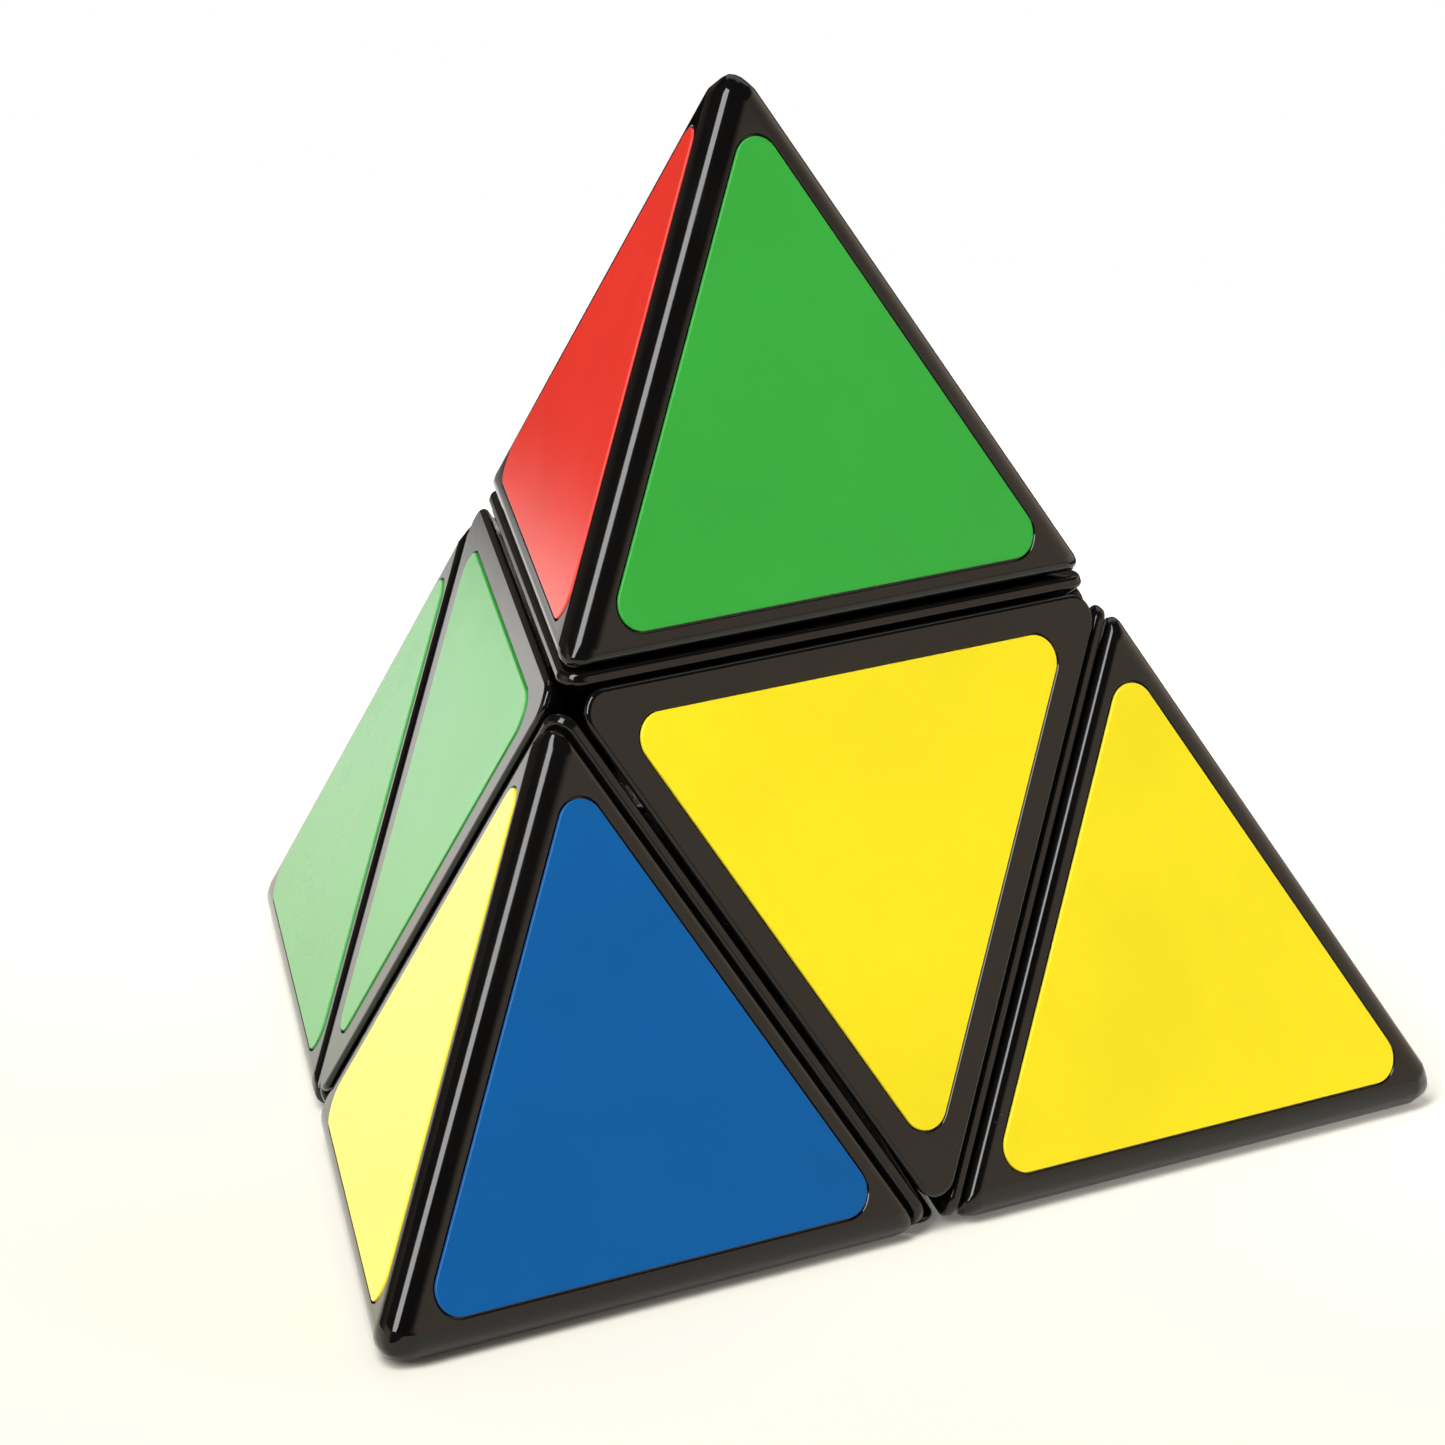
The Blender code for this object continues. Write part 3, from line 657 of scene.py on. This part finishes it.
def pan_screw(head_from):
    """A pan-head cross screw on the w axis, with ring grooves for its thread."""
    tip = SCREW_TIP + SCREW_TIP_GAP
    root = SCREW_RADIUS - THREAD_DEPTH
    profile = [(SCREW_POINT, tip)]
    turns = int((head_from - tip - SCREW_PLAIN) / THREAD_PITCH)
    for turn in range(turns):
        at = tip + SCREW_POINT + turn * THREAD_PITCH
        profile.append((root, at))
        profile.append((SCREW_RADIUS, at + THREAD_PITCH / 2))
    profile.append((root, tip + SCREW_POINT + turns * THREAD_PITCH))
    profile.append((root, head_from))
    profile.append((HEAD_RADIUS - HEAD_CHAMFER, head_from))
    profile.append((HEAD_RADIUS, head_from + HEAD_CHAMFER))
    for step in range(HEAD_STEPS + 1):
        angle = radians(90) * step / HEAD_STEPS
        radius = HEAD_RADIUS - HEAD_DOME * (1 - cos(angle))
        profile.append((radius, head_from + HEAD_RIM + HEAD_DOME * sin(angle)))
    screw = turned(profile)
    top = head_from + HEAD_THICK
    slots = []
    for half_x, half_y in ((SLOT_LENGTH / 2, SLOT_WIDTH / 2), (SLOT_WIDTH / 2, SLOT_LENGTH / 2)):
        outline = [(-half_x, -half_y), (half_x, -half_y), (half_x, half_y), (-half_x, half_y)]
        slots.append(loft([(outline, top - SLOT_DEPTH), (outline, top + REACH)], Matrix.Identity(4)))
    return cut(screw, join(*slots))


def washer():
    ring = rod(WASHER_RADIUS, WASHER_FROM, WASHER_FROM + WASHER_THICK)

    def width(normals):
        return WASHER_ROUND if abs(normals[0].z) + abs(normals[1].z) > FACING else 0.0

    rounded(ring, width, segments=3)
    return cut(ring, rod(HUB_BORE, 0, FAR))


def spring():
    """A coil of round wire on the w axis, as a mesh."""
    count = SPRING_STEPS * SPRING_TURNS
    curve = bpy.data.curves.new("spring", "CURVE")
    curve.dimensions = "3D"
    curve.bevel_depth = SPRING_WIRE
    curve.bevel_resolution = 4
    curve.use_fill_caps = True
    path = curve.splines.new("POLY")
    path.points.add(count)
    for step in range(count + 1):
        angle = 2 * pi * step / SPRING_STEPS
        height = SPRING_FROM + (SPRING_TO - SPRING_FROM) * step / count
        path.points[step].co = (SPRING_RADIUS * cos(angle), SPRING_RADIUS * sin(angle), height, 1)
    obj = bpy.data.objects.new("spring", curve)
    bpy.context.scene.collection.objects.link(obj)
    bpy.context.view_layer.update()
    mesh = bpy.data.meshes.new_from_object(obj.evaluated_get(bpy.context.evaluated_depsgraph_get()))
    bpy.data.objects.remove(obj)
    bm = bmesh.new()
    bm.from_mesh(mesh)
    bmesh.ops.remove_doubles(bm, verts=bm.verts, dist=WELD)
    return helper(bm)


# Materials

BLACK = (0.0035, 0.0032, 0.003)
BLACK_DEEPER = (0.003, 0.0027, 0.0026)
BLACK_LIGHTER = (0.0045, 0.004, 0.0038)
DUST = (0.05, 0.046, 0.042)
VINYL_COLOURS = {
    "green_vinyl": (0.038, 0.40, 0.05),
    "blue_vinyl": (0.0008, 0.106, 0.36),
    "yellow_vinyl": (0.95, 0.79, 0.016),
    "red_vinyl": (0.88, 0.048, 0.032),
}
VINYL_ROUGHNESS = (0.15, 0.175)  # clean, and in rubbed patches
CREAM = ((0.83, 0.815, 0.73), (0.835, 0.81, 0.72))
# Painted light: the white that the floor's colour turns to at the back
FLOOR_PAINTED_LIGHT_WHITE = (0.94, 0.94, 0.93)
# Painted light: the colour of the floor's own glow
FLOOR_PAINTED_GLOW_COLOUR = (1.0, 0.97, 0.9)


class Surface:
    """A Principled material with short calls for its texture nodes, all in the row frame's metres."""

    def __init__(self, name, colour, roughness, metallic=0.0, **constants):
        self.material = bpy.data.materials.new(name)
        self.material.use_nodes = True
        self.nodes = self.material.node_tree.nodes
        self.links = self.material.node_tree.links
        self.shader = self.nodes["Principled BSDF"]
        self.shader.inputs["Base Color"].default_value = (*colour, 1)
        self.shader.inputs["Roughness"].default_value = roughness
        self.shader.inputs["Metallic"].default_value = metallic
        for socket, value in constants.items():
            self.shader.inputs[socket.replace("_", " ")].default_value = value
        self.place = self.nodes.new("ShaderNodeTexCoord").outputs["Object"]

    def stretched(self, scale, rotation=(0, 0, 0)):
        mapping = self.nodes.new("ShaderNodeMapping")
        mapping.inputs["Scale"].default_value = scale
        mapping.inputs["Rotation"].default_value = rotation
        self.links.new(self.place, mapping.inputs["Vector"])
        return mapping.outputs["Vector"]

    def noise(self, scale, detail=3.0, distortion=0.0, vector=None):
        node = self.nodes.new("ShaderNodeTexNoise")
        node.inputs["Scale"].default_value = scale
        node.inputs["Detail"].default_value = detail
        node.inputs["Distortion"].default_value = distortion
        self.links.new(vector or self.place, node.inputs["Vector"])
        return node.outputs["Fac"]

    def cells(self, scale, randomness=1.0):
        node = self.nodes.new("ShaderNodeTexVoronoi")
        node.inputs["Scale"].default_value = scale
        node.inputs["Randomness"].default_value = randomness
        self.links.new(self.place, node.inputs["Vector"])
        return node.outputs["Distance"]

    def ranged(self, value, low, high, to_low=0.0, to_high=1.0):
        node = self.nodes.new("ShaderNodeMapRange")
        node.interpolation_type = "SMOOTHSTEP"
        for socket, number in zip(("From Min", "From Max", "To Min", "To Max"), (low, high, to_low, to_high)):
            node.inputs[socket].default_value = number
        self.links.new(value, node.inputs["Value"])
        return node.outputs["Result"]

    def math(self, operation, first, second):
        node = self.nodes.new("ShaderNodeMath")
        node.operation = operation
        for socket, value in zip(node.inputs, (first, second)):
            if isinstance(value, (int, float)):
                socket.default_value = value
            else:
                self.links.new(value, socket)
        return node.outputs[0]

    def mixed(self, share, first, second):
        """A colour between two, each a colour or another mix."""
        node = self.nodes.new("ShaderNodeMix")
        node.data_type = "RGBA"
        self.links.new(share, node.inputs["Factor"])
        for socket, value in zip((node.inputs[6], node.inputs[7]), (first, second)):
            if isinstance(value, tuple):
                socket.default_value = (*value, 1)
            else:
                self.links.new(value, socket)
        return node.outputs[2]

    def colour(self, value):
        self.links.new(value, self.shader.inputs["Base Color"])

    def roughness(self, value):
        self.links.new(value, self.shader.inputs["Roughness"])

    def bump(self, height, distance, strength=1.0):
        node = self.nodes.new("ShaderNodeBump")
        node.inputs["Distance"].default_value = distance
        node.inputs["Strength"].default_value = strength
        self.links.new(height, node.inputs["Height"])
        self.links.new(node.outputs["Normal"], self.shader.inputs["Normal"])


def scratches(surface, scale=260.0):
    """Fine straight hairlines in two directions, as a height between 0 and 1."""
    lines = None
    for stretch, turn in (((1.0, 30.0, 30.0), (0.3, 0.5, 0.2)), ((30.0, 1.0, 30.0), (0.1, 0.9, 1.1))):
        grain = surface.noise(scale, 2.0, vector=surface.stretched(stretch, turn))
        line = surface.ranged(grain, 0.74, 0.80)
        lines = line if lines is None else surface.math("MAXIMUM", lines, line)
    return lines


def black_plastic(name, roughness):
    """Glossy moulded ABS: deep black, with handling marks in its gloss and a little dust."""
    surface = Surface(name, BLACK, roughness, IOR=1.41)
    handled = surface.ranged(surface.noise(95, 4.0, 0.4), 0.35, 0.75)
    marks = scratches(surface)
    tone = surface.mixed(handled, BLACK_DEEPER, BLACK_LIGHTER)
    dust = surface.ranged(surface.cells(620), 0.05, 0.03)
    sparse = surface.ranged(surface.noise(60, 2.0), 0.58, 0.68)
    surface.colour(surface.mixed(surface.math("MULTIPLY", dust, sparse), tone, DUST))
    base = surface.ranged(handled, 0, 1, roughness * 0.8, roughness * 1.35)
    surface.roughness(surface.math("ADD", base, surface.math("MULTIPLY", marks, 0.06)))
    peel = surface.noise(1400, 2.0)
    surface.bump(surface.math("SUBTRACT", peel, surface.math("MULTIPLY", marks, 0.1)), 0.000005, 0.5)
    return surface.material


def vinyl(name, colour):
    """Printed film: an even colour, a faint waviness from the glue, and rubbed patches in its gloss."""
    surface = Surface(name, colour, VINYL_ROUGHNESS[0], IOR=1.5, Specular_Tint=(0.1, 0.1, 0.1, 1))
    deeper = tuple(channel * 0.93 for channel in colour)
    cloud = surface.ranged(surface.noise(70, 3.0, 0.2), 0.3, 0.75)
    surface.colour(surface.mixed(cloud, colour, deeper))
    rubbed = surface.ranged(surface.noise(150, 3.0, 0.3), 0.45, 0.72)
    surface.roughness(surface.ranged(rubbed, 0, 1, *VINYL_ROUGHNESS))
    surface.bump(surface.noise(130, 1.0), 0.000003, 0.5)
    return surface.material


def vinyl_edge(name, colour):
    """The cut edge of the film, a little darker and greyer than its print, as painted shade at the sticker's
    outline.
    """
    # Painted shade: the edge colour is the print's colour, darkened and greyed
    pale = tuple(0.8 * channel + 0.02 for channel in colour)
    surface = Surface(name, pale, 0.45)
    surface.colour(surface.mixed(surface.noise(900, 3.0), pale, colour))
    return surface.material


def moulded(name, colour, roughness):
    """Plain moulded plastic of the inner parts: a fine spark-eroded grain."""
    surface = Surface(name, colour, roughness)
    shade = tuple(channel * 0.8 for channel in colour)
    surface.colour(surface.mixed(surface.noise(160, 4.0), colour, shade))
    surface.roughness(surface.ranged(surface.noise(420, 3.0), 0.3, 0.7, roughness - 0.07, roughness + 0.1))
    surface.bump(surface.noise(5200, 3.0), 0.00001, 0.6)
    return surface.material


def steel(name, colour, roughness, direction):
    """Plated steel with a drawn or turned grain."""
    surface = Surface(name, colour, roughness, 1.0)
    grain = surface.noise(700, 3.0, vector=surface.stretched(direction))
    surface.roughness(surface.ranged(grain, 0.3, 0.7, roughness - 0.08, roughness + 0.12))
    tone = tuple(channel * 0.82 for channel in colour)
    surface.colour(surface.mixed(surface.noise(300, 4.0), colour, tone))
    surface.bump(grain, 0.000004, 0.5)
    return surface.material


# Putting the pieces in place

BODY_OF = {node: body for body, nodes in frame["record"]["behaviour"]["bodies"].items() for node in nodes}
SLOT_OF = {part["node"]: part["material_slot"] for part in frame["record"]["subparts"]}


def puzzle_frame():
    """The puzzle's own axes at its centre, as the joints give them."""
    axes = [Vector(joint["axis"]).normalized() for joint in frame["joints"][:3]]
    return Matrix.Translation(CENTRE) @ columns(*axes)


PUZZLE = puzzle_frame()


def shape(obj, sharp_angle):
    """The mesh of a modelled object, shaded smooth up to an angle. The object is removed."""
    mesh = obj.data
    mesh.materials.clear()
    mesh.shade_smooth()
    mesh.set_sharp_from_angle(angle=radians(sharp_angle))
    bpy.data.objects.remove(obj)
    return mesh


def place(node, mesh, turn, materials):
    """The piece that stands for a CAD node: its own copy of a mesh, turned about the puzzle's centre."""
    piece = bpy.data.objects.new(f"fine_{node}", mesh.copy())
    bpy.context.scene.collection.objects.link(piece)
    for finish in materials:
        piece.data.materials.append(finish)
    piece.data.transform(PUZZLE @ turn)
    weighted = piece.modifiers.new("even_faces", "WEIGHTED_NORMAL")
    weighted.keep_sharp = True
    weighted.weight = 80
    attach(piece, BODY_OF[node])
    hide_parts(node)
    return piece


def half_turn(axis):
    return Matrix.Rotation(pi, 4, UNIT[axis]) if axis else Matrix.Identity(4)


def film_faces(mesh, side):
    """Gives every face of a sticker but its printed top the second material."""
    outward = OUTER[side]
    for face in mesh.polygons:
        face.material_index = 0 if face.normal.dot(outward) > PRINTED_FACING else 1


def outer_pieces():
    cap_plastic = black_plastic("cap_plastic", 0.09)
    base_plastic = black_plastic("base_plastic", 0.11)
    films = {}
    for slot, colour in VINYL_COLOURS.items():
        films[slot] = (vinyl(slot, colour), vinyl_edge(f"{slot}_edge", colour))

    cap_mesh = shape(corner_cap(), 35)
    base_mesh = shape(corner_base(), 30)
    corner_film = shape(sticker(corner_outline, "right"), 60)
    film_faces(corner_film, "right")
    for corner, axis in CORNERS.items():
        turn = half_turn(axis)
        place(f"{corner}_corner_cap", cap_mesh, turn, [cap_plastic])
        place(f"{corner}_corner_base", base_mesh, turn, [base_plastic])
        for step in range(3):
            spun = turn @ Matrix.Rotation(radians(120 * step), 4, DIAGONAL)
            outward = spun.to_3x3() @ OUTER["right"]
            side = max(OUTER, key=lambda name: OUTER[name].dot(outward))
            node = f"{corner}_corner_sticker_{side}"
            place(node, corner_film, spun, films[SLOT_OF[node]])

    lid_mesh = shape(face_cap(), 35)
    body_mesh = shape(face_base(), 30)
    fixed_mesh = shape(fixed_base(), 30)
    face_film = shape(sticker(face_outline, "base"), 60)
    film_faces(face_film, "base")
    for face, axis in FACES.items():
        turn = half_turn(axis)
        place(f"{face}_face_cap", lid_mesh, turn, [cap_plastic])
        place(f"{face}_face_base", body_mesh if axis else fixed_mesh, turn, [base_plastic])
        node = f"{face}_face_sticker"
        place(node, face_film, turn, films[SLOT_OF[node]])


def inner_pieces():
    inner = moulded("inner_plastic", (0.03, 0.03, 0.032), 0.4)
    pale = moulded("core_plastic", (0.55, 0.55, 0.53), 0.45)
    plated = steel("screw_steel", (0.62, 0.61, 0.6), 0.26, (1, 1, 14))
    wire = steel("spring_steel", (0.5, 0.5, 0.5), 0.3, (6, 6, 6))

    edge_mesh = shape(hidden_edge(), 30)
    for (corner, face), pair in HIDDEN_EDGES.items():
        place(f"hidden_edge_{corner}_corner_{face}_face", edge_mesh, edge_frame(*pair), [inner])
    hub_mesh = shape(turning_hub(), 30)
    screw_mesh = shape(pan_screw(HEAD_FROM), 40)
    washer_mesh = shape(washer(), 40)
    spring_mesh = shape(spring(), 60)
    for layer, axis in LAYERS.items():
        turn = axis_frame(axis)
        place(f"{layer}_hub", hub_mesh, turn, [inner])
        place(f"{layer}_axle_screw", screw_mesh, turn, [plated])
        place(f"{layer}_washer", washer_mesh, turn, [plated])
        place(f"{layer}_spring", spring_mesh, turn, [wire])
    place("core", shape(core(), 30), Matrix.Identity(4), [pale])
    down = (-DIAGONAL).to_track_quat("Z", "Y").to_matrix().to_4x4()
    place("base_face_screw", shape(pan_screw(FIXED_HEAD_FROM), 40), down, [plated])


# Studio

FLOOR_SIDE = 0.6
FLOOR_FRONT = -0.7
FLOOR_BACK = 0.23
FLOOR_DROP = 0.00002  # below the puzzle
FLOOR_PAINTED_LIGHT_SPAN = (0.02, 0.12)  # where its colour turns from cream to white going back, as painted light
FLOOR_PAINTED_GLOW_SPAN = (-0.06, 0.08)  # where its painted glow, a faint light of its own, rises to full
# Painted light: the strength of the floor's glow, in front and at the back
FLOOR_PAINTED_GLOW_LEVELS = (0.02, 0.42)
FLOOR_FADES = 0.135  # from here to the back it grows transparent
CAMERA_AZIMUTH = 21.8
CAMERA_ELEVATION = 17.7
CAMERA_ROLL = 1.82
CAMERA_DISTANCE = 5.7 * EDGE
CAMERA_LENS = 198.2
AIM = Vector((0.0007, 0.0003, 0.37 * HEIGHT))
# Azimuths where the room is dark: the cosines between which it falls off, and the share that is left
DARK_SIDES = ((CAMERA_AZIMUTH, (0.45, 0.8, 0.05)), (-132, (0.3, 0.75, 0.1)))
# The room's light by elevation in degrees: a warm band low down, and dark above
ROOM_LEVELS = (
    (-3, (0.06, 0.06, 0.06)),
    (0, (1.14, 0.93, 0.75)),
    (17, (1.14, 0.93, 0.75)),
    (27, (0.04, 0.04, 0.04)),
)
# Name, azimuth, elevation, distance in metres, width and height in metres, and power in watts
SOFTBOXES = (
    ("top_light", -8, 50, 0.75, (0.30, 0.80), 8.6),
    ("back_light", 190, 50, 1.2, (1.2, 0.8), 3.0),
)


def direction(azimuth, elevation):
    """From the object towards a viewer at this azimuth from the front and this elevation."""
    a, e = radians(azimuth), radians(elevation)
    return Vector((sin(a) * cos(e), -cos(a) * cos(e), sin(e)))


def floor():
    """A table top of cream paper with painted light: whiter and faintly glowing going back. It ends a little
    way behind the puzzle, where it fades out.
    """
    bm = bmesh.new()
    for x, y in ((-1, FLOOR_FRONT), (1, FLOOR_FRONT), (1, FLOOR_BACK), (-1, FLOOR_BACK)):
        bm.verts.new((x * FLOOR_SIDE, y, 0))
    bm.faces.new(bm.verts)
    plane = helper(bm)
    plane.name = "floor"
    lowest = CAD_BOX[0][2]
    plane.location.z = lowest - FLOOR_DROP
    surface = Surface("floor_paper", CREAM[1], 0.7)
    depth = surface.nodes.new("ShaderNodeSeparateXYZ")
    surface.links.new(surface.place, depth.inputs["Vector"])
    behind = depth.outputs["Y"]
    # Painted light: the paper's colour turns from cream to white going back, where more light falls
    far = surface.ranged(behind, *FLOOR_PAINTED_LIGHT_SPAN)
    tone = surface.ranged(surface.noise(3.0, 2.0), 0.3, 0.7)
    surface.colour(surface.mixed(far, surface.mixed(tone, *CREAM), FLOOR_PAINTED_LIGHT_WHITE))
    sockets = surface.shader.inputs
    # Painted light: the paper glows faintly, more going back
    sockets["Emission Color"].default_value = (*FLOOR_PAINTED_GLOW_COLOUR, 1)
    painted_glow = surface.ranged(behind, *FLOOR_PAINTED_GLOW_SPAN, *FLOOR_PAINTED_GLOW_LEVELS)
    surface.links.new(painted_glow, sockets["Emission Strength"])
    surface.links.new(surface.ranged(behind, FLOOR_FADES, FLOOR_BACK, 1, 0), sockets["Alpha"])
    surface.bump(surface.noise(2600, 3.0), 0.00002, 0.3)
    plane.data.materials.append(surface.material)


def softbox(name, azimuth, elevation, distance, size, power):
    light = bpy.data.lights.new(name, "AREA")
    light.shape = "RECTANGLE"
    light.size, light.size_y = size
    light.energy = power
    lamp = bpy.data.objects.new(name, light)
    bpy.context.scene.collection.objects.link(lamp)
    towards = direction(azimuth, elevation)
    lamp.location = CENTRE + towards * distance
    lamp.rotation_euler = towards.to_track_quat("Z", "Y").to_euler()


def room():
    """A low pale band, broken behind the camera and at the back left. The camera sees plain white."""
    world = bpy.data.worlds.new("room")
    bpy.context.scene.world = world
    world.use_nodes = True
    nodes, links = world.node_tree.nodes, world.node_tree.links
    background = nodes["Background"]
    heading = nodes.new("ShaderNodeTexCoord")
    height = nodes.new("ShaderNodeSeparateXYZ")
    links.new(heading.outputs["Generated"], height.inputs["Vector"])
    levels = nodes.new("ShaderNodeMapRange")
    levels.inputs["From Min"].default_value = -1
    links.new(height.outputs["Z"], levels.inputs["Value"])
    band = nodes.new("ShaderNodeValToRGB")
    stops = band.color_ramp.elements
    while len(stops) < len(ROOM_LEVELS):
        stops.new(1.0)
    for stop, (elevation, level) in zip(stops, ROOM_LEVELS):
        stop.position = (sin(radians(elevation)) + 1) / 2
        stop.color = (*level, 1)
    links.new(levels.outputs["Result"], band.inputs["Fac"])
    shades = []
    for azimuth, (near, full, left_over) in DARK_SIDES:
        facing = nodes.new("ShaderNodeVectorMath")
        facing.operation = "DOT_PRODUCT"
        facing.inputs[1].default_value = direction(azimuth, 0)
        links.new(heading.outputs["Generated"], facing.inputs[0])
        shade = nodes.new("ShaderNodeMapRange")
        shade.interpolation_type = "SMOOTHSTEP"
        for socket, number in zip(("From Min", "From Max", "To Max"), (near, full, left_over)):
            shade.inputs[socket].default_value = number
        shade.inputs["To Min"].default_value = 1
        links.new(facing.outputs["Value"], shade.inputs["Value"])
        shades.append(shade.outputs["Result"])
    both = nodes.new("ShaderNodeMath")
    both.operation = "MULTIPLY"
    for shade, socket in zip(shades, both.inputs):
        links.new(shade, socket)
    links.new(both.outputs[0], background.inputs["Strength"])
    links.new(band.outputs["Color"], background.inputs["Color"])
    white = nodes.new("ShaderNodeBackground")
    seen = nodes.new("ShaderNodeLightPath")
    either = nodes.new("ShaderNodeMixShader")
    links.new(seen.outputs["Is Camera Ray"], either.inputs["Fac"])
    links.new(background.outputs["Background"], either.inputs[1])
    links.new(white.outputs["Background"], either.inputs[2])
    white.inputs["Color"].default_value = (1, 1, 1, 1)
    links.new(either.outputs["Shader"], nodes["World Output"].inputs["Surface"])


def camera():
    data = bpy.data.cameras.new("camera")
    data.lens = CAMERA_LENS
    data.sensor_width = 36
    eye = bpy.data.objects.new("camera", data)
    bpy.context.scene.collection.objects.link(eye)
    towards = direction(CAMERA_AZIMUTH, CAMERA_ELEVATION)
    eye.location = AIM + towards * CAMERA_DISTANCE
    upright_turn = towards.to_track_quat("Z", "Y").to_matrix()
    roll = Matrix.Rotation(radians(CAMERA_ROLL), 3, "Z")
    eye.rotation_euler = (upright_turn @ roll).to_euler()
    bpy.context.scene.camera = eye


def studio():
    bpy.context.scene.view_settings.view_transform = "Standard"
    floor()
    room()
    for box in SOFTBOXES:
        softbox(*box)
    camera()


studio()
outer_pieces()
inner_pieces()
